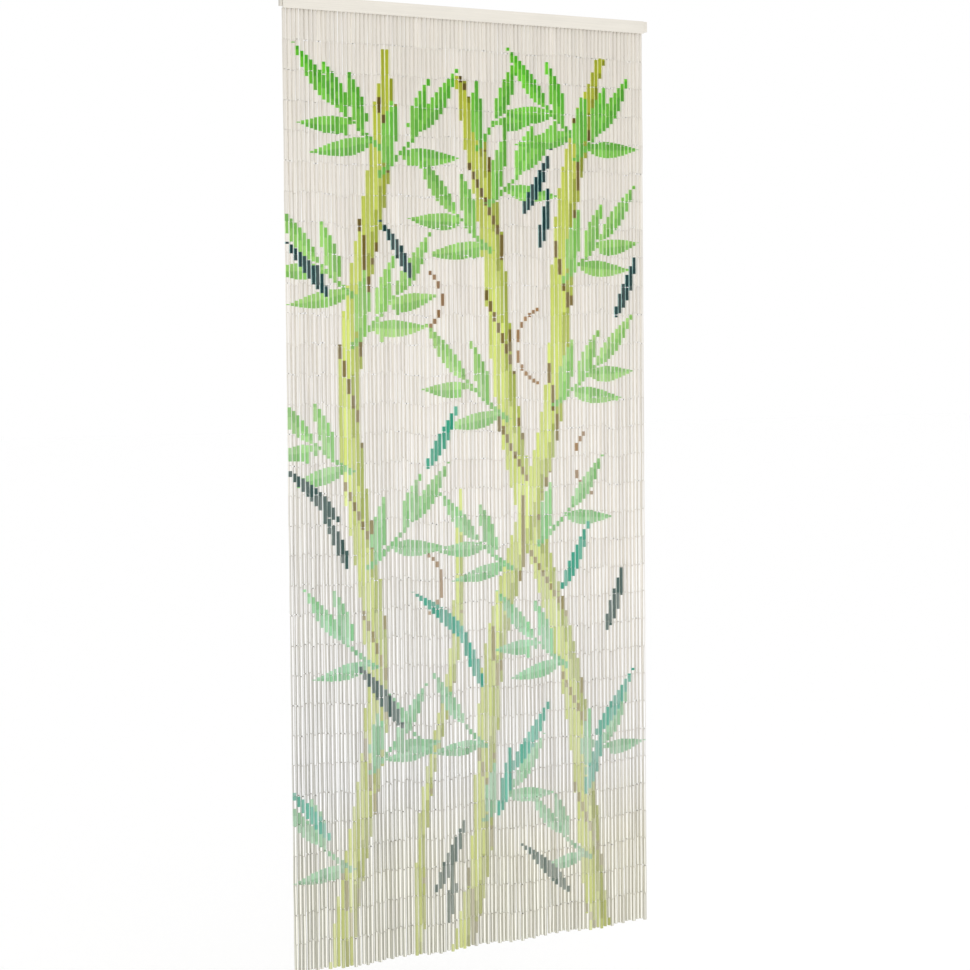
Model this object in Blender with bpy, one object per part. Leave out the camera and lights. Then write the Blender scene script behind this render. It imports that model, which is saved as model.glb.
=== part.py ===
"""Bamboo bead door curtain: ninety hanging strands under a painted wooden batten.

Metres, +Z up. The curtain faces -Y, its width runs along X, and the origin is the centre
of the batten's back face, which goes against the wall or lintel above the doorway.
"""

import math

import bmesh
import bpy
from mathutils import Matrix, Vector

# Driving sizes of the whole curtain
WIDTH = 0.900
DROP = 2.000

# Batten, the wooden bar that carries everything
BATTEN_HEIGHT = 0.023
BATTEN_DEPTH = 0.0095

# Cover strip, the flat lath on the batten's front that hides the tops of the strands
COVER_HEIGHT = 0.027
COVER_THICKNESS = 0.004
COVER_END_LEFT = 0.004
COVER_END_RIGHT = 0.012
EDGE_ROUNDING = 0.0008
PIECE_GAP = 0.0003

# Strands, each a row of bamboo tubes on wire, which hang under the batten
STRANDS = 90
STRAND_PITCH = 0.00982
STRAND_WIDTH = 0.0076
STRAND_DEPTH = 0.0076
STRAND_SECTIONS = 4
FIRST_STRAND_INSET = 0.0090
ROOT_HEIGHT = 0.0028
ROOT_CLEARANCE = 0.0006

# How the strands hang: each leans and bows a little, and the hem is uneven
LEAN = 0.0004
BOW = 0.0003
DEPTH_SWAY = 0.0007
HEM_SPREAD = 0.005

# Painted wood and painted bamboo, both a warm off-white
PAINTED_WOOD = (0.79, 0.77, 0.70)
PAINTED_BAMBOO = (0.76, 0.72, 0.66)

BATTEN_TOP = BATTEN_HEIGHT / 2
BATTEN_BOTTOM = -BATTEN_HEIGHT / 2
COVER_BACK = -BATTEN_DEPTH - PIECE_GAP
STRAND_BACK = COVER_BACK + ROOT_CLEARANCE + STRAND_DEPTH
STRAND_FRONT = COVER_BACK + ROOT_CLEARANCE
ROOT_TOP = BATTEN_BOTTOM - PIECE_GAP
ROOT_BOTTOM = ROOT_TOP - ROOT_HEIGHT
HEM = BATTEN_TOP - DROP

# The root strip's four sides run from each corner to the next: top, back, underside, front
UNDERSIDE = 2


def clear_scene():
    for old in list(bpy.data.objects):
        bpy.data.objects.remove(old, do_unlink=True)


def material(name, colour, roughness):
    made = bpy.data.materials.new(name)
    made.use_nodes = True
    shader = made.node_tree.nodes["Principled BSDF"]
    shader.inputs["Base Color"].default_value = (*colour, 1.0)
    shader.inputs["Roughness"].default_value = roughness
    shader.inputs["Metallic"].default_value = 0.0
    return made


def add_object(name, mesh_data, surface, parent):
    mesh = bpy.data.meshes.new(name)
    bmesh.ops.recalc_face_normals(mesh_data, faces=mesh_data.faces)
    mesh_data.to_mesh(mesh)
    mesh_data.free()
    mesh.materials.append(surface)
    made = bpy.data.objects.new(name, mesh)
    made.parent = parent
    bpy.context.scene.collection.objects.link(made)
    return made


def add_lath(name, low, high, surface, parent):
    """A straight piece of wood between two corners, with its edges eased by a small bevel."""
    low, high = Vector(low), Vector(high)
    size = high - low
    lath = bmesh.new()
    bmesh.ops.create_cube(lath, size=1.0, matrix=Matrix.Diagonal((*size, 1.0)))
    made = add_object(name, lath, surface, parent)
    made.location = (low + high) / 2
    easing = made.modifiers.new("eased edges", "BEVEL")
    easing.width = EDGE_ROUNDING
    easing.segments = 2
    return made


def hem_height(strand):
    """Height of a strand's lower end: a slow wave along the hem and a step between neighbours."""
    return HEM + HEM_SPREAD * (0.55 * math.sin(0.31 * strand) + 0.45 * math.sin(2.1 * strand))


def hang(strand, share):
    """How far a strand's middle is from its root, at a share of the way down to its hem."""
    lean = LEAN * math.sin(2.4 * strand)
    bow = BOW * math.sin(1.7 * strand + 0.8)
    sway = DEPTH_SWAY * math.sin(0.23 * strand + 1.1)
    across = lean * share + bow * math.sin(math.pi * share)
    away = sway * math.sin(math.pi * share / 2)
    return Vector((across, away, (hem_height(strand) - ROOT_BOTTOM) * share))


def root_strip():
    """The strip that joins the roots, and the faces of its underside that strands grow from."""
    strip = bmesh.new()
    first = -WIDTH / 2 + FIRST_STRAND_INSET
    middles = [first + STRAND_PITCH * strand for strand in range(STRANDS)]
    stations = [middle + side * STRAND_WIDTH / 2 for middle in middles for side in (-1, 1)]
    rings = [
        [
            strip.verts.new((x, STRAND_FRONT, ROOT_TOP)),
            strip.verts.new((x, STRAND_BACK, ROOT_TOP)),
            strip.verts.new((x, STRAND_BACK, ROOT_BOTTOM)),
            strip.verts.new((x, STRAND_FRONT, ROOT_BOTTOM)),
        ]
        for x in stations
    ]
    roots = []
    for index, (here, there) in enumerate(zip(rings, rings[1:])):
        for side in range(4):
            after = (side + 1) % 4
            face = strip.faces.new((here[side], here[after], there[after], there[side]))
            if side == UNDERSIDE and index % 2 == 0:
                roots.append(face)
    strip.faces.new(rings[0])
    strip.faces.new(rings[-1][::-1])
    return strip, roots


def hang_strands(strip, roots):
    """Extrudes each root face down to the hem in equal sections, shifted as its strand hangs."""
    tips = roots
    for section in range(STRAND_SECTIONS):
        above, below = section / STRAND_SECTIONS, (section + 1) / STRAND_SECTIONS
        tips = bmesh.ops.extrude_discrete_faces(strip, faces=tips)["faces"]
        tips.sort(key=lambda face: face.calc_center_median().x)
        for strand, tip in enumerate(tips):
            shift = hang(strand, below) - hang(strand, above)
            bmesh.ops.translate(strip, verts=tip.verts, vec=shift)


def main():
    clear_scene()
    curtain = bpy.data.objects.new("curtain", None)
    bpy.context.scene.collection.objects.link(curtain)
    wood = material("painted_wood", PAINTED_WOOD, 0.45)
    bamboo = material("painted_bamboo", PAINTED_BAMBOO, 0.55)
    add_lath(
        "header_batten",
        (-WIDTH / 2, -BATTEN_DEPTH, BATTEN_BOTTOM),
        (WIDTH / 2, 0.0, BATTEN_TOP),
        wood,
        curtain,
    )
    add_lath(
        "cover_strip",
        (-WIDTH / 2 + COVER_END_LEFT, COVER_BACK - COVER_THICKNESS, BATTEN_TOP - COVER_HEIGHT),
        (WIDTH / 2 - COVER_END_RIGHT, COVER_BACK, BATTEN_TOP),
        wood,
        curtain,
    )
    strip, roots = root_strip()
    hang_strands(strip, roots)
    add_object("bead_strands", strip, bamboo, curtain)


main()
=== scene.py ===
"""Looks of a bamboo bead door curtain: painted wood, 2880 printed bamboo beads and their wire eyes.

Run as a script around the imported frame. Metres, +Z up, the curtain faces -Y.
"""

import math

import bpy
import numpy as np
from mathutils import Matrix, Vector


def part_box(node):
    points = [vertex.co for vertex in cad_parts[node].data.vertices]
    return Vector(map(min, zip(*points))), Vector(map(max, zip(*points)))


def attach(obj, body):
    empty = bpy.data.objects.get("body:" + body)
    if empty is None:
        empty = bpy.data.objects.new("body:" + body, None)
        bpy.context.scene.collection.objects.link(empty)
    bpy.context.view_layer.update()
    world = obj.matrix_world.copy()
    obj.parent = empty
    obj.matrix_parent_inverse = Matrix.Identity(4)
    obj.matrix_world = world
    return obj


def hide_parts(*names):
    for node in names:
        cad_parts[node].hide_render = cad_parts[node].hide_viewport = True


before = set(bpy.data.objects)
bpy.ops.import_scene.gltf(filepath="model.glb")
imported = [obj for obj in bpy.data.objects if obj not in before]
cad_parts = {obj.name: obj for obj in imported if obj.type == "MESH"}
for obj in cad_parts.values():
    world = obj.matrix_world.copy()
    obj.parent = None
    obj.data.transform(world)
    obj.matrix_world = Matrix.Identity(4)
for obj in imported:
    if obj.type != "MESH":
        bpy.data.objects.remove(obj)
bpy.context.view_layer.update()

bl_info = {
    "name": "Bamboo bead door curtain",
    "version": (1, 0, 0),
    "blender": (4, 5, 0),
    "location": "3D View > Sidebar > Curtain",
    "description": "Dresses the curtain's frame with beads, wire eyes, paint and a studio",
    "category": "Object",
}

# The strands, in the sizes and the hang of their solids
STRANDS = 90
ROWS = 32
STRAND_PITCH = 0.00982
FIRST_STRAND_INSET = 0.0090
STRAND_DEPTH_PLACE = -0.0054
LEAN = 0.0004
BOW = 0.0003
DEPTH_SWAY = 0.0007
HEM_SPREAD = 0.005
DROP = 2.000

# The wood, read from the frame. The first beads' tops hide behind the cover strip's lower edge.
BATTEN_LOW, BATTEN_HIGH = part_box("header_batten")
COVER_LOW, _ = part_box("cover_strip")
TOP_HIDDEN = 0.0006
FIRST_BEAD_TOP = COVER_LOW.z + TOP_HIDDEN
HEM = BATTEN_HIGH.z - DROP

# How beads hang: over how many strands the row breaks wander alike, small shifts off a strand's
# line, the least and the extra gap as shares of the usual one, the most that a diameter strays,
# how much thicker the top beads are, and the share of a radius kept free for what is out of round
SHARED_REACH = 2
SHIFT = 0.0002
SHIFT_LIMIT = 0.0004
DEPTH_SHIFT = 0.00012
LEAST_GAP = 0.25
EXTRA_GAP = 3.2
SPREAD_LIMIT = 0.06
TOP_SWELL = 0.035
OUT_OF_ROUND = 0.11

# One bead's mesh: sides round it, and rings along it that can move to the print's edges. Its
# ends are rounded off, and it tapers, is pressed out of round at a random turn, and bows, more
# across than in depth. The beads come in panels.
PANELS = 6
BEAD_SIDES = 8
PRINT_RINGS = 4
SHOULDER = 0.0008
CHAMFER = 0.0003
TAPER = 0.10
PRESS = 0.045
PRESS_TURN = 6.28
BEAD_BOW = 0.00035
BOW_DEPTH = 0.7

# One wire eye's mesh, how far it goes into its bead, and how far it passes the row break
EYE_PIECES = 2
EYE_STEPS = 8
EYE_SIDES = 3
EYE_REACH = 0.0009
EYE_LAP = 0.0005

# Painted light and shade lie round each bead by which way it faces, reckoned from a little left of the
# front and turned a little from bead to bead. Ink thins to a share on the sides, and to a share of
# that at the back.
PAINTED_LIGHT_TURN = math.radians(-10)
BEAD_TURN = math.radians(26)
SIDE_INK = 0.70
BACK_INK = 0.18

# Shares by which the ink's shade differs from strand to strand and from bead to bead, and the
# most that it thins at the hem. A bead's own share of its turn; the rest drifts down the strand.
STRAND_TONE = 0.09
BEAD_TONE = 0.05
HEM_THINNING = 0.36
OWN_TURN = 0.35

# Heights between which looks change on the way down, the beads' painted light and shade among them,
# and how much sooner the flanks and sides grow greyer on the left, as painted shade
FRONT_CHANGE = (-0.15, -1.60)
FLANK_CHANGE = (-0.95, -2.05)
PAINTED_SHADE_LEAN = 0.6
WARM_CHANGE = (-1.62, -1.80)
STAIN_CHANGE = (-0.20, -1.00)

# Where round a bead its painted light and shade and its ink change, by how far the surface faces the
# viewer (-1) or the wall (1). The painted lit front's edge wanders by a share of the bead's tone, and
# the ink's by a share of a noise.
LIT_FRONT_EDGE = (-0.92, -1.02)
LIT_FRONT_WANDER = -0.09
FLANK_EDGE = (-0.76, -0.40)
INK_EDGE = (-0.18, -0.33)
INK_WANDER = 0.4
BACK_EDGE = (0.40, 0.80)

# The span that most of a noise lies in, the lowest beads' warmer tint and the painted shade on the
# wood's cut ends
NOISE = (0.3, 0.7)
WARM_TINT = (0.99, 0.975, 0.88, 1)
END_PAINTED_SHADE = (0.79, 0.79, 0.79, 1)

# The soft light's place, turn and size, the floor's half width and the farthest thing seen
KEY_PLACE = (-0.5, -2.6, -1.0)
KEY_TURN = (math.radians(90), 0, math.radians(-11))
KEY_SIZE = (2.4, 1.4)
FLOOR_HALF = 40.0
FAR = 200.0

# The seed of the random draws, the picture's width in pixels and the sensor's in millimetres
SEED = 4
PIXELS = 970
SENSOR = 36.0


def linear(hex_colour):
    """An sRGB hex colour as linear values: c/12.92 up to 0.04045, and ((c+0.055)/1.055)^2.4 above."""
    values = np.array([int(hex_colour[n:n + 2], 16) for n in (1, 3, 5)]) / 255
    return tuple(np.where(values <= 0.04045, values / 12.92, ((values + 0.055) / 1.055) ** 2.4))


class CurtainSizes(bpy.types.PropertyGroup):
    """Sizes of the beads and of the wire that joins them."""

    bead: bpy.props.FloatProperty(
        name="Bead", description="Usual diameter of the lowest beads; the top ones are 3.5 % thicker",
        default=0.0084, min=0.004, max=0.0092, unit="LENGTH", precision=4)
    bead_spread: bpy.props.FloatProperty(
        name="Bead spread", description="How much the diameter differs from bead to bead, as a share",
        default=0.035, min=0.0, max=0.06, subtype="FACTOR")
    bead_gap: bpy.props.FloatProperty(
        name="Gap", description="Usual height of the gap between two beads of a strand",
        default=0.0006, min=0.0004, max=0.006, unit="LENGTH", precision=4)
    bore: bpy.props.FloatProperty(
        name="Bore", description="Diameter of the hole along a bead",
        default=0.0054, min=0.001, max=0.006, unit="LENGTH", precision=4)
    row_unevenness: bpy.props.FloatProperty(
        name="Row unevenness", description="How far a bead's length strays from its row's",
        default=0.0014, min=0.0, max=0.003, unit="LENGTH", precision=5)
    wire: bpy.props.FloatProperty(
        name="Wire", description="Diameter of the link wire",
        default=0.0008, min=0.0003, max=0.001, unit="LENGTH", precision=4)
    eye_width: bpy.props.FloatProperty(
        name="Eye", description="Width of a wire eye, between the middles of its sides",
        default=0.0018, min=0.001, max=0.003, unit="LENGTH", precision=4)


class CurtainColours(bpy.types.PropertyGroup):
    """Colours of the paints, the raw bamboo and the wire, with painted light and shade in the beads'
    paints, ends and wire.
    """

    # Painted light and shade on the beads: towards the hem the fronts grow whiter as painted light and
    # the flanks greyer as painted shade, and the sides are painted lighter than the shade in the gaps
    front_top: bpy.props.FloatVectorProperty(
        name="Bead fronts, top", description="Off-white paint on the fronts of the upper beads",
        default=linear("#DDD8CE"), size=3, min=0, max=1, subtype="COLOR")
    front_hem: bpy.props.FloatVectorProperty(
        name="Bead fronts, hem", description="Whiter paint on the fronts of the lower beads",
        default=linear("#F4F4F4"), size=3, min=0, max=1, subtype="COLOR")
    shaded_flank_top: bpy.props.FloatVectorProperty(
        name="Bead flanks, top", description="Off-white paint beside the fronts of the upper beads",
        default=linear("#D9D4CB"), size=3, min=0, max=1, subtype="COLOR")
    shaded_flank_hem: bpy.props.FloatVectorProperty(
        name="Bead flanks, hem",
        description="Thinner, greyer paint beside the fronts of the lower beads",
        default=linear("#ACACA7"), size=3, min=0, max=1, subtype="COLOR")
    side_top: bpy.props.FloatVectorProperty(
        name="Bead sides, top", description="Undercoat on the sides of the upper beads",
        default=linear("#F2EDE4"), size=3, min=0, max=1, subtype="COLOR")
    side_hem: bpy.props.FloatVectorProperty(
        name="Bead sides, hem", description="Undercoat on the sides of the lower beads",
        default=linear("#D8D8D4"), size=3, min=0, max=1, subtype="COLOR")
    # Pale raw bamboo, lightened further as painted light against the shade in the row breaks
    raw_bamboo: bpy.props.FloatVectorProperty(
        name="Raw bamboo", description="Cut ends of the beads",
        default=linear("#ECE8DE"), size=3, min=0, max=1, subtype="COLOR")
    wood_paint: bpy.props.FloatVectorProperty(
        name="Wood paint", description="Satin paint of the batten and the cover strip",
        default=linear("#E0DBD1"), size=3, min=0, max=1, subtype="COLOR")
    # Dull dark wire, darkened further as painted shade of the row breaks
    wire: bpy.props.FloatVectorProperty(
        name="Wire", description="Drawn link wire, gone dull",
        default=linear("#665F54"), size=3, min=0, max=1, subtype="COLOR")


class CurtainStage(bpy.types.PropertyGroup):
    """The camera, the floor and the light."""

    camera_place: bpy.props.FloatVectorProperty(
        name="Camera place",
        description="Where the camera stands, left of the curtain and a little above its middle",
        default=(-2.6524, -4.4305, -0.7135), size=3, subtype="TRANSLATION", unit="LENGTH")
    camera_turn: bpy.props.FloatVectorProperty(
        name="Camera turn", description="Tilt, roll and heading of the camera",
        default=tuple(math.radians(a) for a in (86.872, 0.5315, -31.191)), size=3, subtype="EULER")
    focal_pixels: bpy.props.FloatProperty(
        name="Focal length", description="Focal length in pixels of a 970-pixel frame",
        default=2421.8, min=500, max=6000)
    floor_drop: bpy.props.FloatProperty(
        name="Floor", description="How far the floor is under the hem",
        default=0.30, min=0.0, max=1.0, unit="LENGTH")
    fill: bpy.props.FloatProperty(
        name="Fill", description="Strength of the even light from all round",
        default=1.0, min=0.0, max=3.0)
    key: bpy.props.FloatProperty(
        name="Key", description="Power of the soft light in front of the curtain's middle, in watts",
        default=14.0, min=0.0, max=500.0)


def hem_heights():
    """Each strand's lower end: the hem's height plus a slow sine along it and a quick one."""
    strand = np.arange(STRANDS)
    return HEM + HEM_SPREAD * (0.55 * np.sin(0.31 * strand) + 0.45 * np.sin(2.1 * strand))


def strand_line(share):
    """Places of all strands at shares (strand, place) of their drop.

    Across, it is the root's place plus a lean that grows evenly and a bow of half a sine. In
    depth, it is a sway of a quarter sine.
    """
    strand = np.arange(STRANDS)[:, None]
    root = BATTEN_LOW.x + FIRST_STRAND_INSET + STRAND_PITCH * strand
    x = root + LEAN * np.sin(2.4 * strand) * share
    x = x + BOW * np.sin(1.7 * strand + 0.8) * np.sin(np.pi * share)
    y = STRAND_DEPTH_PLACE + DEPTH_SWAY * np.sin(0.23 * strand + 1.1) * np.sin(np.pi * share / 2)
    return x, y


def smooth_across(values, reach):
    """Values averaged over neighbouring strands with a bell of that reach, and scaled back up."""
    offsets = np.arange(-3 * reach, 3 * reach + 1)
    bell = np.exp(-0.5 * (offsets / reach) ** 2)
    spread = np.apply_along_axis(lambda v: np.convolve(v, bell / bell.sum(), "same"), 0, values)
    return spread * values.std() / spread.std()


def row_breaks(sizes, rng):
    """Heights of each strand's row breaks (strand, 33), from the first bead's top to its hem.

    Each bead's length strays a little, so the breaks wander like a random walk that is
    pulled back to end at the hem.
    """
    # A large part of the stray is shared with neighbouring strands, and the rest is the strand's own
    shared = smooth_across(rng.normal(0, sizes.row_unevenness, (STRANDS, ROWS)), SHARED_REACH)
    stray = 0.8 * shared + 0.6 * rng.normal(0, sizes.row_unevenness, shared.shape)
    walk = np.concatenate([np.zeros((STRANDS, 1)), np.cumsum(stray, 1)], 1)
    share = np.arange(ROWS + 1) / ROWS
    walk = walk - walk[:, -1:] * share
    return FIRST_BEAD_TOP + (hem_heights()[:, None] - FIRST_BEAD_TOP) * share + walk


class Hang:
    """Where every bead hangs, as arrays by strand and row.

    They are its top, its bottom, its radius and four random numbers of its own. The joints are
    the places where two beads meet, with a strand's top and hem.
    """

    def __init__(self, sizes):
        rng = np.random.default_rng(SEED)
        breaks = row_breaks(sizes, rng)
        share = (FIRST_BEAD_TOP - breaks) / (FIRST_BEAD_TOP - breaks[:, -1:])
        x, y = strand_line(share)
        x = x + rng.normal(0, SHIFT, x.shape).clip(-SHIFT_LIMIT, SHIFT_LIMIT)
        y = y + rng.normal(0, DEPTH_SHIFT, y.shape)
        self.joints = np.stack([x, y, breaks], -1)
        above, below = self.joints[:, :-1], self.joints[:, 1:]
        along = (below - above) / np.linalg.norm(below - above, axis=-1, keepdims=True)
        first = np.arange(ROWS)[None, :, None] == 0
        last = np.arange(ROWS)[None, :, None] == ROWS - 1
        # Most gaps are narrower than the usual one, and a few are three times as wide
        gap = sizes.bead_gap * (LEAST_GAP + EXTRA_GAP * rng.random((STRANDS, ROWS + 1, 1)) ** 4)
        self.tops = above + along * np.where(first, 0, gap[:, :-1] / 2)
        self.bottoms = below - along * np.where(last, 0, gap[:, 1:] / 2)
        spread = rng.normal(0, sizes.bead_spread, (STRANDS, ROWS))
        spread = spread.clip(-SPREAD_LIMIT, SPREAD_LIMIT)
        self.radii = sizes.bead / 2 * (1 + spread) * np.linspace(1 + TOP_SWELL, 1, ROWS)
        # No bead is thicker than its neighbours leave room for
        middle = (self.tops + self.bottoms)[..., 0] / 2
        room = np.diff(middle, axis=0) / 2 / (1 + OUT_OF_ROUND)
        self.radii[:-1] = np.minimum(self.radii[:-1], room)
        self.radii[1:] = np.minimum(self.radii[1:], room)
        self.chance = rng.random((STRANDS, ROWS, 4))


# The paints of the print, by number. 0 is bare.
LEAF, LEAF_SHADE, STEM, STEM_SHADE, BARK, TEAL, EMERALD, TENDRIL = range(1, 9)

# The print: a climbing laurel of our own drawing. A stem's head and foot are places across
# the curtain, and it waves on its way down. A spray is a twig that leaves a stem at a height,
# with alternate leaves. A sliver is a slim leaf on its own. Turns are degrees to the right of
# straight up, and sizes are metres.
STEM_COLUMNS = ("head_x", "foot_x", "head_z", "width", "sway", "wave", "phase")
STEMS = (
    (-0.245, -0.300, -0.085, 0.054, 0.038, 1.25, 2.4),
    (-0.040, 0.330, -0.130, 0.056, 0.020, 1.10, 3.6),
    (0.325, -0.060, -0.075, 0.054, 0.024, 1.00, 0.6),
    (-0.020, -0.165, -1.000, 0.024, 0.014, 0.70, 1.0),
)
SPRAY_COLUMNS = ("stem", "z", "turn", "length", "leaf", "leaves")
SPRAYS = (
    (0, -0.290, -56, 0.130, 0.150, 4),
    (0, -0.345, 52, 0.135, 0.155, 3),
    (0, -0.600, -56, 0.115, 0.145, 3),
    (0, -0.700, 50, 0.150, 0.150, 4),
    (0, -0.960, -60, 0.110, 0.140, 3),
    (0, -1.160, 54, 0.140, 0.145, 3),
    (0, -1.370, -56, 0.100, 0.135, 2),
    (0, -1.590, 50, 0.090, 0.130, 2),
    (0, -1.790, -56, 0.100, 0.125, 2),
    (1, -0.285, 40, 0.080, 0.140, 2),
    (1, -0.400, 56, 0.115, 0.145, 3),
    (1, -0.500, -54, 0.120, 0.150, 3),
    (1, -0.860, -56, 0.140, 0.145, 3),
    (1, -1.130, 54, 0.115, 0.135, 2),
    (1, -1.400, -58, 0.110, 0.135, 3),
    (1, -1.640, 46, 0.080, 0.130, 2),
    (1, -1.830, -56, 0.100, 0.120, 2),
    (2, -0.255, -56, 0.105, 0.150, 3),
    (2, -0.300, 50, 0.085, 0.145, 3),
    (2, -0.560, 54, 0.135, 0.145, 4),
    (2, -0.830, 58, 0.140, 0.145, 4),
    (2, -1.180, -58, 0.110, 0.135, 3),
    (2, -1.560, -50, 0.080, 0.130, 1),
    (2, -1.720, 54, 0.100, 0.130, 2),
    (3, -1.560, -52, 0.075, 0.115, 1),
)
SLIVER_COLUMNS = ("x", "z", "turn", "length", "paint")
SLIVERS = (
    (-0.345, -0.600, -34, 0.170, TEAL),
    (0.120, -0.420, 36, 0.165, TEAL),
    (0.165, -0.490, 18, 0.140, TEAL),
    (0.360, -0.640, 30, 0.160, TEAL),
    (-0.150, -0.560, -24, 0.150, TEAL),
    (-0.125, -0.960, 38, 0.170, EMERALD),
    (-0.330, -1.060, -40, 0.180, TEAL),
    (-0.310, -1.160, -18, 0.150, TEAL),
    (0.215, -1.230, 34, 0.170, EMERALD),
    (0.330, -1.330, 26, 0.170, TEAL),
    (-0.185, -1.500, -30, 0.190, TEAL),
    (-0.020, -1.330, -42, 0.180, EMERALD),
    (0.010, -1.430, -16, 0.160, EMERALD),
    (0.080, -1.620, 42, 0.190, EMERALD),
    (0.050, -1.710, 20, 0.170, EMERALD),
    (0.300, -1.560, 44, 0.180, EMERALD),
    (0.270, -1.690, 26, 0.170, EMERALD),
    (-0.360, -1.720, -32, 0.160, EMERALD),
    (-0.110, -1.860, 34, 0.180, TEAL),
    (-0.080, -1.930, 14, 0.140, TEAL),
    (0.230, -1.900, -38, 0.180, TEAL),
)
TENDRIL_COLUMNS = ("x", "z", "radius", "start", "end")
TENDRILS = (
    (0.190, -0.700, 0.085, 200, 340),
    (-0.150, -0.600, 0.070, 30, 160),
    (0.330, -0.950, 0.080, 200, 320),
    (-0.160, -1.200, 0.075, 20, 150),
)

# Each paint's colour at four heights, from the top to the hem: it fades on the way down
PAINT_HEIGHTS = (0.0, 0.33, 0.66, 1.0)
PAINTS = {
    LEAF: ("#4AAD02", "#9CC971", "#92C49C", "#A0BEA2"),
    LEAF_SHADE: ("#339700", "#84BA5E", "#80B888", "#92AE94"),
    STEM: ("#979E0C", "#C4D268", "#C2CC88", "#BCC27C"),
    STEM_SHADE: ("#777C06", "#A0AE44", "#A8B274", "#A6AA6C"),
    BARK: ("#4A3C00", "#70602A", "#989068", "#AAA68A"),
    TEAL: ("#04262A", "#0E3A3A", "#405A54", "#6C7870"),
    EMERALD: ("#18946A", "#259775", "#469E86", "#70AD98"),
    TENDRIL: ("#7A5428", "#8C6C48", "#A28C70", "#B0A48C"),
}

# The map's step, the points looked at along a bead, and the least share of a bead between rings
GRID_STEP = 0.001
EDGE_SAMPLES = 56
LEAST_BAND = 0.012

# Forms of the print. Breadths and curls are shares of a leaf's or twig's length, and a leaf is
# widest a little nearer its base. A stem slims over its top and is shaded on its right. Bark shows
# in rings and at the right edge, at even heights, where a sine is above a level. Slim stems have
# no rings.
LEAF_BREADTH = 0.24
LEAF_FULLNESS = 0.72
LEAF_CURL = 0.10
TWIG_WIDTH = 0.012
TWIG_CURL = 0.10
SLIVER_BREADTH = 0.155
SLIVER_CURL = -0.14
LINE_WIDTH = 0.007
SLIM_TOP = 0.12
SLIM_SHARE = 0.45
SHADED_FROM = 0.30
BARK_FROM = 0.74
RING_EVERY = 0.27
RING_SLANT = 1.9
RING_LEVEL = 0.95
RINGED_WIDTH = 0.03
FLECK_EVERY = 0.19
FLECK_LEVEL = 0.72


def rows_of(columns, table):
    """The rows of a table as dicts by column name."""
    return [dict(zip(columns, row)) for row in table]


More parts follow.
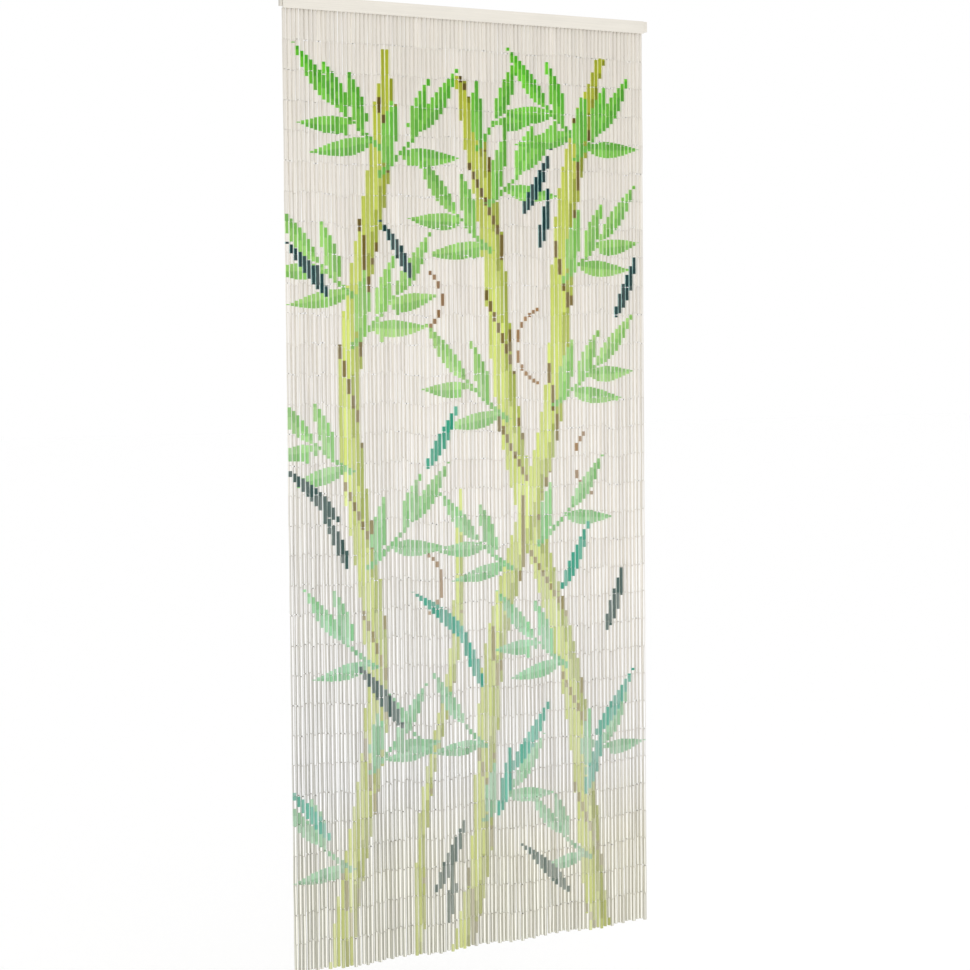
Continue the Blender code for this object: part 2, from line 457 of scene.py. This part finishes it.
class Print:
    """Which paint lies where: a map (strand, height step) of shape numbers and their paints."""

    def __init__(self):
        self.top = FIRST_BEAD_TOP
        steps = int((FIRST_BEAD_TOP - HEM + 2 * HEM_SPREAD) / GRID_STEP)
        self.z = self.top - GRID_STEP * np.arange(steps)[None, :]
        root = BATTEN_LOW.x + FIRST_STRAND_INSET + STRAND_PITCH * np.arange(STRANDS)
        self.x = root[:, None]
        self.shape = np.zeros((STRANDS, steps), np.int32)
        self.paint = [0]
        for tendril in rows_of(TENDRIL_COLUMNS, TENDRILS):
            self.draw_tendril(**tendril)
        stems = rows_of(STEM_COLUMNS, STEMS)
        for stem in stems:
            self.draw_stem(**stem)
        for spray in rows_of(SPRAY_COLUMNS, SPRAYS):
            stem = stems[spray.pop("stem")]
            self.draw_spray(self.stem_middle(spray["z"], **stem), **spray)
        for sliver in rows_of(SLIVER_COLUMNS, SLIVERS):
            self.draw_sliver(**sliver)

    def fill(self, mask, paint):
        """Lays a new shape of one paint over what is there."""
        self.shape[mask] = len(self.paint)
        self.paint.append(paint)

    def draw_leaf(self, x, z, turn, length, width, curl, lit=LEAF, shaded=LEAF_SHADE):
        """A lens round an axis that bends by curl t^2, for t from 0 at its base to 1 at its tip.

        Its half width follows half a sine of t to the power of the leaf's fullness.
        """
        angle = math.radians(turn)
        dx, dz = self.x - x, self.z - z
        t = (dx * math.sin(angle) + dz * math.cos(angle)) / length
        across = dx * math.cos(angle) - dz * math.sin(angle) - curl * length * t * abs(t)
        inside = (t > 0) & (t < 1)
        half = width / 2 * np.sin(np.pi * np.clip(t, 0, 1) ** LEAF_FULLNESS)
        leaf = inside & (abs(across) < half)
        side = across * (1 if math.cos(angle) > 0 else -1) > 0
        self.fill(leaf & ~side, lit)
        self.fill(leaf & side, shaded)

    def draw_twig(self, x, z, turn, length, width, curl):
        """A band that narrows evenly to its tip, round an axis bent by curl t^2."""
        angle = math.radians(turn)
        dx, dz = self.x - x, self.z - z
        t = (dx * math.sin(angle) + dz * math.cos(angle)) / length
        across = dx * math.cos(angle) - dz * math.sin(angle) - curl * length * t * abs(t)
        self.fill((t > 0) & (t < 1) & (abs(across) < width / 2 * (1.1 - 0.6 * t)), LEAF_SHADE)

    def draw_spray(self, x, z, turn, length, leaf, leaves):
        """A twig that curls up, leaves on alternate sides at even steps, and one at its tip.

        The first leaf is a fifth of the way along and stands 50 degrees off the twig. Each after
        it is a little shorter and closer to the twig, and the one at the tip is the longest.
        """
        curl = math.copysign(TWIG_CURL, -turn)
        self.draw_twig(x, z, turn, length, TWIG_WIDTH, curl)
        angle = math.radians(turn)
        for number in range(leaves):
            t = 0.20 + 0.62 * number / max(1, leaves - 1)
            side = 1 if number % 2 else -1
            along, off = length * t, curl * length * t * t
            base_x = x + along * math.sin(angle) + off * math.cos(angle)
            base_z = z + along * math.cos(angle) - off * math.sin(angle)
            self.draw_leaf(base_x, base_z, turn + side * (50 - 5 * number),
                           leaf * (1 - 0.06 * number), leaf * LEAF_BREADTH, -LEAF_CURL * side)
        off = curl * length
        tip_x = x + length * math.sin(angle) + off * math.cos(angle)
        tip_z = z + length * math.cos(angle) - off * math.sin(angle)
        self.draw_leaf(tip_x, tip_z, turn + math.degrees(2 * curl), leaf * 1.08,
                       leaf * LEAF_BREADTH, curl)

    def draw_sliver(self, x, z, turn, length, paint):
        """A slim leaf of one paint, which bends to the left."""
        self.draw_leaf(x, z, turn, length, length * SLIVER_BREADTH, SLIVER_CURL, paint, paint)

    def stem_middle(self, z, head_x, foot_x, head_z, sway, wave, phase, width):
        """A stem's middle: it leans evenly from head to foot and waves as a sine of the height."""
        share = (head_z - z) / (head_z - HEM)
        return head_x + (foot_x - head_x) * share + sway * np.sin(2 * np.pi * z / wave + phase)

    def draw_stem(self, **stem):
        """A band round the stem's middle, shaded on its right, with rings and flecks of bark."""
        head_z, width, phase = stem["head_z"], stem["width"], stem["phase"]
        across = (self.x - self.stem_middle(self.z, **stem)) / (width / 2)
        slim = np.clip((head_z - self.z) / SLIM_TOP, SLIM_SHARE, 1)
        band = (self.z < head_z) & (abs(across) < slim)
        self.fill(band & (across < SHADED_FROM), STEM)
        self.fill(band & (across >= SHADED_FROM), STEM_SHADE)
        ring = np.sin(2 * np.pi * self.z / RING_EVERY + 3 * phase + RING_SLANT * across)
        self.fill(band & (ring > RING_LEVEL) & (width > RINGED_WIDTH), BARK)
        fleck = np.sin(2 * np.pi * self.z / FLECK_EVERY + 5 * phase)
        self.fill(band & (fleck > FLECK_LEVEL) & (across > BARK_FROM), BARK)

    def draw_tendril(self, x, z, radius, start, end):
        """An arc line of a circle, between two angles from straight up."""
        dx, dz = self.x - x, self.z - z
        angle = np.degrees(np.arctan2(dx, dz)) % 360
        near = abs(np.hypot(dx, dz) - radius) < LINE_WIDTH / 2
        self.fill(near & (angle > start) & (angle < end), TENDRIL)

    def step_at(self, z):
        """The map's step at a height."""
        return np.clip(((self.top - z) / GRID_STEP).astype(int), 0, self.shape.shape[1] - 1)

    def edges(self, tops, bottoms):
        """Shares along each bead where its print changes, at most PRINT_RINGS, and else even steps."""
        shares = (np.arange(EDGE_SAMPLES) + 0.5) / EDGE_SAMPLES
        z = tops[..., 2:] + (bottoms[..., 2:] - tops[..., 2:]) * shares
        strand = np.arange(STRANDS)[:, None, None]
        shape = self.shape[strand, self.step_at(z)]
        count = np.cumsum(shape[..., 1:] != shape[..., :-1], -1)
        rings = []
        for ring in range(PRINT_RINGS):
            found = count[..., -1] > ring
            place = (np.argmax(count > ring, -1) + 1) / EDGE_SAMPLES
            rings.append(np.where(found, place, (ring + 1) / (PRINT_RINGS + 1)))
        rings = np.sort(np.stack(rings, -1), -1)
        for ring in range(PRINT_RINGS):
            floor = rings[..., ring - 1] + LEAST_BAND if ring else 2 * LEAST_BAND
            ceiling = 1 - LEAST_BAND * (PRINT_RINGS - ring + 1)
            rings[..., ring] = np.minimum(np.maximum(rings[..., ring], floor), ceiling)
        return rings

    def colours(self, z):
        """Linear colour and cover of the print at heights (strand, row, segment)."""
        strand = np.arange(STRANDS)[:, None, None]
        paint = np.array(self.paint)[self.shape[strand, self.step_at(z)]]
        depth = (self.top - z) / (self.top - HEM)
        made = np.zeros((*z.shape, 4))
        for number, stops in PAINTS.items():
            ramp = np.array([linear(stop) for stop in stops])
            here = paint == number
            for channel in range(3):
                made[here, channel] = np.interp(depth[here], PAINT_HEIGHTS, ramp[:, channel])
            made[here, 3] = 1
        return made


def new_piece(name, points, faces, material, smooth):
    """A mesh object from points (n, 3), quads (m, 4) and whether each quad is shaded smooth."""
    mesh = bpy.data.meshes.new(name)
    mesh.vertices.add(len(points))
    mesh.vertices.foreach_set("co", points.astype(np.float32).ravel())
    mesh.loops.add(faces.size)
    mesh.loops.foreach_set("vertex_index", faces.astype(np.int32).ravel())
    mesh.polygons.add(len(faces))
    mesh.polygons.foreach_set("loop_start", np.arange(0, faces.size, 4, dtype=np.int32))
    mesh.polygons.foreach_set("use_smooth", smooth)
    mesh.update(calc_edges=True)
    mesh.validate()
    mesh.materials.append(material)
    piece = bpy.data.objects.new(name, mesh)
    bpy.context.scene.collection.objects.link(piece)
    return piece


def corner_colours(mesh, name, values):
    """Gives each face's four corners the face's RGBA value, so that colours meet in a sharp line."""
    layer = mesh.attributes.new(name, "FLOAT_COLOR", "CORNER")
    layer.data.foreach_set("color", np.repeat(values, 4, axis=0).astype(np.float32).ravel())


def ring_grid(count, rings, sides):
    """Quads of count closed tubes: ring to next ring and side to next side, both wrapping round."""
    ring, side = np.meshgrid(np.arange(rings), np.arange(sides), indexing="ij")
    ahead, beside = (ring + 1) % rings, (side + 1) % sides
    quad = np.stack([ring * sides + side, ahead * sides + side,
                     ahead * sides + beside, ring * sides + beside], -1)
    start = np.arange(count)[:, None, None, None] * rings * sides
    return (start + quad[None]).reshape(-1, 4)


def bead_points(tops, bottoms, radii, rings, bore, chance):
    """Points (bead, ring, side) of hollow beads.

    Each is a turned profile carried down its axis: bore edge, end face, shoulder, the
    print's rings, shoulder, end face, bore edge. The radius tapers evenly, the section is a
    circle pressed by a cosine of twice the angle, and the axis bows by half a sine.
    """
    count = len(tops)
    length = np.linalg.norm(bottoms - tops, axis=1)
    shoulder = (SHOULDER / length)[:, None]
    zero, one = np.zeros((count, 1)), np.ones((count, 1))
    share = np.concatenate([zero, zero, shoulder, rings, 1 - shoulder, one, one], 1)
    taper = 1 + TAPER * (chance[:, :1] - 0.5) * (share - 0.5)
    radius = radii[:, None] * taper
    radius[:, (1, -2)] -= CHAMFER
    radius[:, (0, -1)] = bore / 2
    angle = 2 * np.pi * (np.arange(BEAD_SIDES)[None, :] / BEAD_SIDES + chance[:, 1:2])
    press = 1 + PRESS * np.cos(2 * (angle - PRESS_TURN * chance[:, 2:3]))
    axis = tops[:, None] + (bottoms - tops)[:, None] * share[..., None]
    bow = BEAD_BOW * np.sin(np.pi * share) * (chance[:, 3:4] - 0.5)
    axis[..., 0] += bow
    axis[..., 1] += bow * BOW_DEPTH
    out = radius[..., None] * press[:, None]
    x = axis[..., None, 0] + out * np.cos(angle)[:, None]
    y = axis[..., None, 1] + out * np.sin(angle)[:, None]
    z = np.broadcast_to(axis[..., None, 2], x.shape)
    return np.stack([x, y, z], -1)


def eye_points(middles, half_height, half_width, wire, heading):
    """Points (eye, step, side) of oval wire rings: a three-sided section carried round an ellipse."""
    turn = 2 * np.pi * np.arange(EYE_STEPS) / EYE_STEPS
    section = 2 * np.pi * np.arange(EYE_SIDES) / EYE_SIDES
    level = np.stack([np.cos(heading), np.sin(heading), np.zeros_like(heading)], -1)
    flat = np.stack([-np.sin(heading), np.cos(heading), np.zeros_like(heading)], -1)
    upright = np.array([0.0, 0.0, 1.0])
    out = np.cos(turn)[None, :, None] * level[:, None] + np.sin(turn)[None, :, None] * upright
    line = (half_width * np.cos(turn)[None, :, None] * level[:, None]
            + half_height[:, None, None] * np.sin(turn)[None, :, None] * upright)
    ring = middles[:, None, None] + line[:, :, None]
    ring = ring + wire / 2 * np.cos(section)[None, None, :, None] * out[:, :, None]
    return ring + wire / 2 * np.sin(section)[None, None, :, None] * flat[:, None, None]


def add_node(tree, kind, settings=None, **links):
    """Adds a shader node.

    settings are its own values. links are its inputs by name, or by number after an underscore,
    and each is a plain value or another node's output.
    """
    node = tree.nodes.new(kind)
    for name, value in (settings or {}).items():
        setattr(node, name, value)
    for name, value in links.items():
        key = int(name[1:]) if name[1:].isdigit() else name.replace("_", " ")
        feed(tree, node.inputs[key], value)
    return node


def feed(tree, socket, value):
    """Links an output to a socket, or gives the socket a plain value."""
    if isinstance(value, bpy.types.NodeSocket):
        tree.links.new(value, socket)
    else:
        socket.default_value = value


def new_material(name):
    """A material with an empty tree, its surface shader and its output."""
    material = bpy.data.materials.new(name)
    material.use_nodes = True
    tree = material.node_tree
    tree.nodes.clear()
    shader = tree.nodes.new("ShaderNodeBsdfPrincipled")
    output = tree.nodes.new("ShaderNodeOutputMaterial")
    tree.links.new(shader.outputs[0], output.inputs[0])
    return material, tree, shader


def stretched_noise(tree, across_mm, along_mm, axis):
    """Noise with cells of that size in millimetres, long along one axis of the object."""
    size = [1000 / across_mm] * 3
    size[axis] = 1000 / along_mm
    place = add_node(tree, "ShaderNodeTexCoord").outputs["Object"]
    scaled = add_node(tree, "ShaderNodeVectorMath", {"operation": "MULTIPLY"}, _0=place, _1=size)
    noise = add_node(tree, "ShaderNodeTexNoise", Vector=scaled.outputs[0], Scale=1.0, Detail=3.0)
    return noise.outputs[0]


def mix_colour(tree, factor, first, second, blend="MIX"):
    """The first colour blended with the second by the factor."""
    node = add_node(tree, "ShaderNodeMix", {"data_type": "RGBA", "blend_type": blend},
                    _0=factor, _6=first, _7=second)
    return node.outputs[2]


def dimmed(tree, colour, shade):
    """A colour times a number."""
    grey = add_node(tree, "ShaderNodeCombineColor", _0=shade, _1=shade, _2=shade)
    return mix_colour(tree, 1.0, colour, grey.outputs[0], "MULTIPLY")


def remap(tree, value, span, ends=(0.0, 1.0), smooth=False):
    """A value carried from one span to another and held at its ends, evenly or with soft ends."""
    kind = {"interpolation_type": "SMOOTHSTEP" if smooth else "LINEAR"}
    node = add_node(tree, "ShaderNodeMapRange", kind,
                    _0=value, _1=span[0], _2=span[1], _3=ends[0], _4=ends[1])
    return node.outputs[0]


def product(tree, first, second):
    """Two numbers multiplied."""
    node = add_node(tree, "ShaderNodeMath", {"operation": "MULTIPLY"}, _0=first, _1=second)
    return node.outputs[0]


def swayed(tree, value, share, by):
    """A number plus a share of another."""
    node = add_node(tree, "ShaderNodeMath", {"operation": "MULTIPLY_ADD"}, _0=by, _1=share, _2=value)
    return node.outputs[0]


def bead_paint_and_painted_light(tree, colours, place, normal, tone, turn):
    """The bamboo's off-white paint, with painted light and shade laid by which way the surface faces.

    The sides out in the gaps are painted lighter than the gaps' shade and the flanks greyer as painted
    shade; towards the hem the fronts grow whiter as painted light. The lowest beads are tinted a
    little warmer.
    """
    across, _, height = add_node(tree, "ShaderNodeSeparateXYZ", _0=place).outputs
    turned_normal = add_node(
        tree, "ShaderNodeVectorRotate", {"rotation_type": "Z_AXIS"}, Vector=normal,
        Angle=remap(tree, turn, (0.0, 1.0), (-BEAD_TURN, BEAD_TURN))).outputs[0]
    facing = add_node(
        tree, "ShaderNodeVectorMath", {"operation": "DOT_PRODUCT"}, _0=turned_normal,
        _1=(-math.sin(PAINTED_LIGHT_TURN), math.cos(PAINTED_LIGHT_TURN), 0)).outputs["Value"]
    # Painted light and shade by which way the surface faces; the lit front's edge lies further round
    # on some beads than on others
    painted_lit_front = remap(tree, swayed(tree, facing, LIT_FRONT_WANDER, tone), LIT_FRONT_EDGE, smooth=True)
    away = remap(tree, facing, FLANK_EDGE)
    # Painted light and shade grow towards the hem: the fronts whiter, the flanks and sides greyer, and
    # these sooner on the left
    front_depth = remap(tree, height, FRONT_CHANGE)
    side_depth = remap(tree, swayed(tree, height, PAINTED_SHADE_LEAN, across), FLANK_CHANGE)
    sides = mix_colour(tree, side_depth, (*colours.side_top, 1), (*colours.side_hem, 1))
    flanks = mix_colour(tree, side_depth, (*colours.shaded_flank_top, 1), (*colours.shaded_flank_hem, 1))
    fronts = mix_colour(tree, front_depth, (*colours.front_top, 1), (*colours.front_hem, 1))
    paint = mix_colour(tree, painted_lit_front, mix_colour(tree, away, flanks, sides), fronts)
    # The lowest beads are tinted a little warmer
    warmer = remap(tree, height, WARM_CHANGE)
    return mix_colour(tree, warmer, paint, WARM_TINT, "MULTIPLY")


def bead_ink(tree, place, normal):
    """The print's stain and how thickly it lies: fully on the front, thinner round the sides.

    It has a ragged edge and worn spots, and only a little of it creeps round to the back.
    """
    height = add_node(tree, "ShaderNodeSeparateXYZ", _0=place).outputs[2]
    printed = add_node(tree, "ShaderNodeAttribute", {"attribute_name": "bead_print"})
    backward = add_node(tree, "ShaderNodeSeparateXYZ", _0=normal).outputs[1]
    blot = stretched_noise(tree, 2.5, 9, 2)
    front = remap(tree, swayed(tree, backward, INK_WANDER, blot), INK_EDGE, (SIDE_INK, 1.0), True)
    worn = remap(tree, blot, (0.28, 0.42), (0.96, 1.0), True)
    crept = remap(tree, backward, BACK_EDGE, (1.0, BACK_INK), True)
    ink = product(tree, product(tree, product(tree, printed.outputs["Alpha"], front), worn), crept)
    # Thin ink on the sides is a lighter and richer stain, by a power of its colour
    sides = (SIDE_INK, 1.0)
    thinned = add_node(tree, "ShaderNodeGamma", Color=printed.outputs["Color"],
                       Gamma=remap(tree, front, sides, (0.15, 1.0)))
    lift = remap(tree, height, STAIN_CHANGE, (1.14, 0.94))
    stain = add_node(tree, "ShaderNodeHueSaturation", Color=thinned.outputs[0],
                     Saturation=remap(tree, front, sides, (1.6, 1.0)),
                     Value=remap(tree, front, sides, (lift, 1.0)))
    return stain.outputs[0], ink


def painted_bamboo(colours):
    """Bamboo twig under matt off-white paint, printed from the front.

    The eye sees faint lengthwise fibres through the paint, a tone that differs from bead to
    bead, painted light and shade by which way the surface faces, print that thins out round the sides,
    and pale raw ends, lightened further as painted light.
    """
    material, tree, shader = new_material("painted_bamboo")
    marks = add_node(tree, "ShaderNodeAttribute", {"attribute_name": "bead_marks"})
    tone, raw, turn = add_node(tree, "ShaderNodeSeparateColor", _0=marks.outputs["Color"]).outputs
    place = add_node(tree, "ShaderNodeTexCoord").outputs["Object"]
    normal = add_node(tree, "ShaderNodeNewGeometry").outputs["Normal"]
    # Fibres are about 0.4 mm wide in life. They are drawn 1.2 mm wide, so that they show.
    fibres = stretched_noise(tree, 1.2, 55, 2)
    streak = remap(tree, fibres, NOISE, (0.965, 1.02))
    paint = dimmed(tree, bead_paint_and_painted_light(tree, colours, place, normal, tone, turn), streak)
    paint = dimmed(tree, paint, remap(tree, tone, (0.0, 1.0), (0.91, 1.045)))
    stain, ink = bead_ink(tree, place, normal)
    surface = mix_colour(tree, ink, paint, dimmed(tree, stain, streak))
    feed(tree, shader.inputs["Base Color"], mix_colour(tree, raw, surface, (*colours.raw_bamboo, 1)))
    # Ink dries duller than the paint
    feed(tree, shader.inputs["Specular IOR Level"], remap(tree, ink, (0.0, 1.0), (0.12, 0.02)))
    feed(tree, shader.inputs["Roughness"], remap(tree, fibres, NOISE, (0.50, 0.62)))
    bump = add_node(tree, "ShaderNodeBump", Strength=0.2, Distance=0.0003, Height=fibres)
    feed(tree, shader.inputs["Normal"], bump.outputs[0])
    return material


def painted_wood(colours):
    """Softwood lath under satin paint: brush lines along it, a little grime in the paint, and painted
    shade on its cut ends.
    """
    material, tree, shader = new_material("painted_wood")
    brush = stretched_noise(tree, 2.2, 160, 0)
    cloud = stretched_noise(tree, 30, 90, 0)
    streak = remap(tree, brush, NOISE, (0.96, 1.02))
    grime = remap(tree, cloud, NOISE, (0.965, 1.01))
    painted = dimmed(tree, (*colours.wood_paint, 1), product(tree, streak, grime))
    # Painted shade: the cut ends, which face sideways, are painted darker
    normal = add_node(tree, "ShaderNodeNewGeometry").outputs["Normal"]
    sideways = add_node(tree, "ShaderNodeSeparateXYZ", _0=normal).outputs[0]
    cut = add_node(tree, "ShaderNodeMath", {"operation": "ABSOLUTE"}, _0=sideways).outputs[0]
    painted = mix_colour(tree, remap(tree, cut, (0.6, 0.9)), painted, END_PAINTED_SHADE, "MULTIPLY")
    feed(tree, shader.inputs["Base Color"], painted)
    feed(tree, shader.inputs["Specular IOR Level"], 0.3)
    feed(tree, shader.inputs["Roughness"], remap(tree, brush, NOISE, (0.36, 0.48)))
    bump = add_node(tree, "ShaderNodeBump", Strength=0.25, Distance=0.0004, Height=brush)
    feed(tree, shader.inputs["Normal"], bump.outputs[0])
    return material


def drawn_wire(colours):
    """Drawn steel wire, bent and gone dull: the eye sees dark grey metal with darker patches, darkened
    further as painted shade of the row breaks.
    """
    material, tree, shader = new_material("drawn_wire")
    patches = stretched_noise(tree, 3, 3, 2)
    colour = dimmed(tree, (*colours.wire, 1), remap(tree, patches, NOISE, (0.72, 1.0)))
    feed(tree, shader.inputs["Base Color"], colour)
    feed(tree, shader.inputs["Metallic"], 1.0)
    feed(tree, shader.inputs["Roughness"], remap(tree, patches, NOISE, (0.45, 0.3)))
    return material


class CURTAIN_OT_wood(bpy.types.Operator):
    """Paint the header batten and the cover strip"""

    bl_idname = "curtain.wood"
    bl_label = "Wood"

    def execute(self, context):
        material = painted_wood(context.scene.curtain_colours)
        for node in ("header_batten", "cover_strip"):
            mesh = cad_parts[node].data
            mesh.materials.clear()
            mesh.materials.append(material)
        return {"FINISHED"}


class CURTAIN_OT_beads(bpy.types.Operator):
    """Hang the printed bamboo beads, in panels of neighbouring strands"""

    bl_idname = "curtain.beads"
    bl_label = "Bamboo beads"

    def execute(self, context):
        sizes = context.scene.curtain_sizes
        material = painted_bamboo(context.scene.curtain_colours)
        hang, print_map = Hang(sizes), Print()
        rings = print_map.edges(hang.tops, hang.bottoms)
        ends = np.concatenate([np.zeros_like(rings[..., :1]), rings, np.ones_like(rings[..., :1])], -1)
        middles = (ends[..., 1:] + ends[..., :-1]) / 2
        z = hang.tops[..., 2:] + (hang.bottoms[..., 2:] - hang.tops[..., 2:]) * middles
        colours = print_map.colours(z)
        rng = np.random.default_rng(SEED + 1)
        strand_tone = 1 + rng.normal(0, STRAND_TONE, (STRANDS, 1, 1, 1))
        # How shade and turn drift down each strand: two sines with random starts, from 0 to 1
        start, rows = 2 * np.pi * rng.random((2, 2, STRANDS, 1)), np.arange(ROWS)
        drift = 0.5 + 0.28 * np.sin(0.33 * rows + start[0]) + 0.22 * np.sin(0.09 * rows + start[1])
        colours[..., :3] *= strand_tone * (1 + rng.normal(0, BEAD_TONE, (STRANDS, ROWS, 1, 1)))
        # The ink lies thinner towards the hem, more so on some beads
        thin = rng.random((STRANDS, ROWS, 1)) * np.linspace(0.0, HEM_THINNING, ROWS)[None, :, None]
        colours[..., 3] *= 1 - thin
        # Bands round a bead: end face, shoulder, the print's segments, shoulder, end face, bore.
        # The end faces and the bore are raw.
        segment = [0, 0] + list(range(PRINT_RINGS + 1)) + [PRINT_RINGS, PRINT_RINGS, 0]
        raw = np.zeros(len(segment))
        raw[[0, -2, -1]] = 1
        for panel, strands in enumerate(np.array_split(np.arange(STRANDS), PANELS), 1):
            pick = (strands[:, None], np.arange(ROWS)[None, :])
            count = len(strands) * ROWS
            points = bead_points(
                hang.tops[pick].reshape(-1, 3), hang.bottoms[pick].reshape(-1, 3),
                hang.radii[pick].ravel(), rings[pick].reshape(count, -1),
                sizes.bore, hang.chance[pick].reshape(-1, 4))
            faces = ring_grid(count, points.shape[1], BEAD_SIDES)
            smooth = np.tile(np.repeat(raw == 0, BEAD_SIDES), count)
            piece = new_piece(f"bamboo_beads_{panel}", points.reshape(-1, 3), faces, material, smooth)
            band_colour = colours[pick].reshape(count, PRINT_RINGS + 1, 4)[:, segment]
            corner_colours(piece.data, "bead_print",
                           np.repeat(band_colour[:, :, None], BEAD_SIDES, 2).reshape(-1, 4))
            # The marks are each band's tone, whether it is raw, and its bead's turn, from 0 to 1
            chance = np.broadcast_to(hang.chance[pick].reshape(count, 1, 4), (count, len(segment), 4))
            tone, turn = drift[:, strands].reshape(2, count, 1)
            tone = (chance[..., 0] + tone) / 2
            turn = chance[..., 3] * OWN_TURN + turn * (1 - OWN_TURN)
            marks = np.stack([tone, np.broadcast_to(raw, tone.shape), turn, np.ones(tone.shape)], -1)
            corner_colours(piece.data, "bead_marks",
                           np.repeat(marks[:, :, None], BEAD_SIDES, 2).reshape(-1, 4))
            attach(piece, "root")
            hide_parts("bead_strands")
        return {"FINISHED"}


class CURTAIN_OT_wires(bpy.types.Operator):
    """Join the beads with pairs of wire eyes, with one more eye at each strand's top and hem"""

    bl_idname = "curtain.wires"
    bl_label = "Wire eyes"

    def execute(self, context):
        sizes = context.scene.curtain_sizes
        material = drawn_wire(context.scene.curtain_colours)
        joints = Hang(sizes).joints
        rng = np.random.default_rng(SEED + 2)
        reach = sizes.bead_gap / 2 + EYE_REACH
        upper = joints[:, 1:] + np.array([0, 0, (reach - EYE_LAP) / 2])
        lower = joints[:, :-1] - np.array([0, 0, (reach - EYE_LAP) / 2])
        middles = np.stack([upper, lower], 2)
        # A bead's two eyes stand square to each other
        heading = rng.uniform(0, np.pi, (STRANDS, ROWS, 1)) + np.array([0, np.pi / 2])
        half_height = np.full(heading.shape, (reach + EYE_LAP) / 2)
        for number, strands in enumerate(np.array_split(np.arange(STRANDS), EYE_PIECES), 1):
            points = eye_points(middles[strands].reshape(-1, 3), half_height[strands].ravel(),
                                sizes.eye_width / 2, sizes.wire, heading[strands].ravel())
            faces = ring_grid(len(points), EYE_STEPS, EYE_SIDES)
            piece = new_piece(f"wire_eyes_{number}", points.reshape(-1, 3), faces, material,
                              np.ones(len(faces), bool))
            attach(piece, "root")
            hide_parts("bead_strands")
        return {"FINISHED"}


class CURTAIN_OT_stage(bpy.types.Operator):
    """Set up the floor, the soft light and the camera"""

    bl_idname = "curtain.stage"
    bl_label = "Stage"

    def execute(self, context):
        stage = context.scene.curtain_stage
        self.add_floor(stage)
        self.add_light(context, stage)
        self.add_camera(context, stage)
        return {"FINISHED"}

    def add_floor(self, stage):
        material, _, shader = new_material("pale_floor")
        shader.inputs["Base Color"].default_value = (1.0, 1.0, 1.0, 1)
        shader.inputs["Roughness"].default_value = 0.9
        half, z = FLOOR_HALF, HEM - stage.floor_drop
        points = np.array([(-half, -half, z), (half, -half, z), (half, half, z), (-half, half, z)])
        floor = new_piece("pale_floor", points, np.array([[0, 1, 2, 3]]), material, [False])

    def add_light(self, context, stage):
        world = bpy.data.worlds.new("soft studio")
        world.use_nodes = True
        context.scene.world = world
        sky = world.node_tree.nodes["Background"]
        sky.inputs[0].default_value = (1, 1, 1, 1)
        sky.inputs[1].default_value = stage.fill
        lamp = bpy.data.lights.new("key", "AREA")
        lamp.shape = "RECTANGLE"
        lamp.size, lamp.size_y = KEY_SIZE
        lamp.energy = stage.key
        key = bpy.data.objects.new("key", lamp)
        key.location = KEY_PLACE
        key.rotation_euler = KEY_TURN
        context.scene.collection.objects.link(key)

    def add_camera(self, context, stage):
        lens = bpy.data.cameras.new("camera")
        lens.sensor_fit = "HORIZONTAL"
        lens.sensor_width = SENSOR
        lens.lens = stage.focal_pixels * SENSOR / PIXELS
        lens.clip_end = FAR
        camera = bpy.data.objects.new("camera", lens)
        camera.location = stage.camera_place
        camera.rotation_euler = stage.camera_turn
        context.scene.collection.objects.link(camera)
        context.scene.camera = camera
        context.scene.view_settings.view_transform = "Standard"


class CURTAIN_PT_panel(bpy.types.Panel):
    """Lists the curtain's sizes, colours and steps"""

    bl_idname = "CURTAIN_PT_panel"
    bl_label = "Bamboo door curtain"
    bl_space_type = "VIEW_3D"
    bl_region_type = "UI"
    bl_category = "Curtain"

    def draw(self, context):
        scene = context.scene
        for group in (scene.curtain_sizes, scene.curtain_colours, scene.curtain_stage):
            box = self.layout.box()
            for name in group.__annotations__:
                box.prop(group, name)
        for operator in OPERATORS:
            self.layout.operator(operator.bl_idname)


OPERATORS = (CURTAIN_OT_wood, CURTAIN_OT_beads, CURTAIN_OT_wires, CURTAIN_OT_stage)
CLASSES = (CurtainSizes, CurtainColours, CurtainStage, *OPERATORS, CURTAIN_PT_panel)


def register():
    for made in CLASSES:
        bpy.utils.register_class(made)
    bpy.types.Scene.curtain_sizes = bpy.props.PointerProperty(type=CurtainSizes)
    bpy.types.Scene.curtain_colours = bpy.props.PointerProperty(type=CurtainColours)
    bpy.types.Scene.curtain_stage = bpy.props.PointerProperty(type=CurtainStage)


def unregister():
    del bpy.types.Scene.curtain_stage
    del bpy.types.Scene.curtain_colours
    del bpy.types.Scene.curtain_sizes
    for made in reversed(CLASSES):
        bpy.utils.unregister_class(made)


def main():
    register()
    bpy.ops.curtain.wood()
    bpy.ops.curtain.beads()
    bpy.ops.curtain.wires()
    bpy.ops.curtain.stage()


if __name__ == "__main__":
    main()
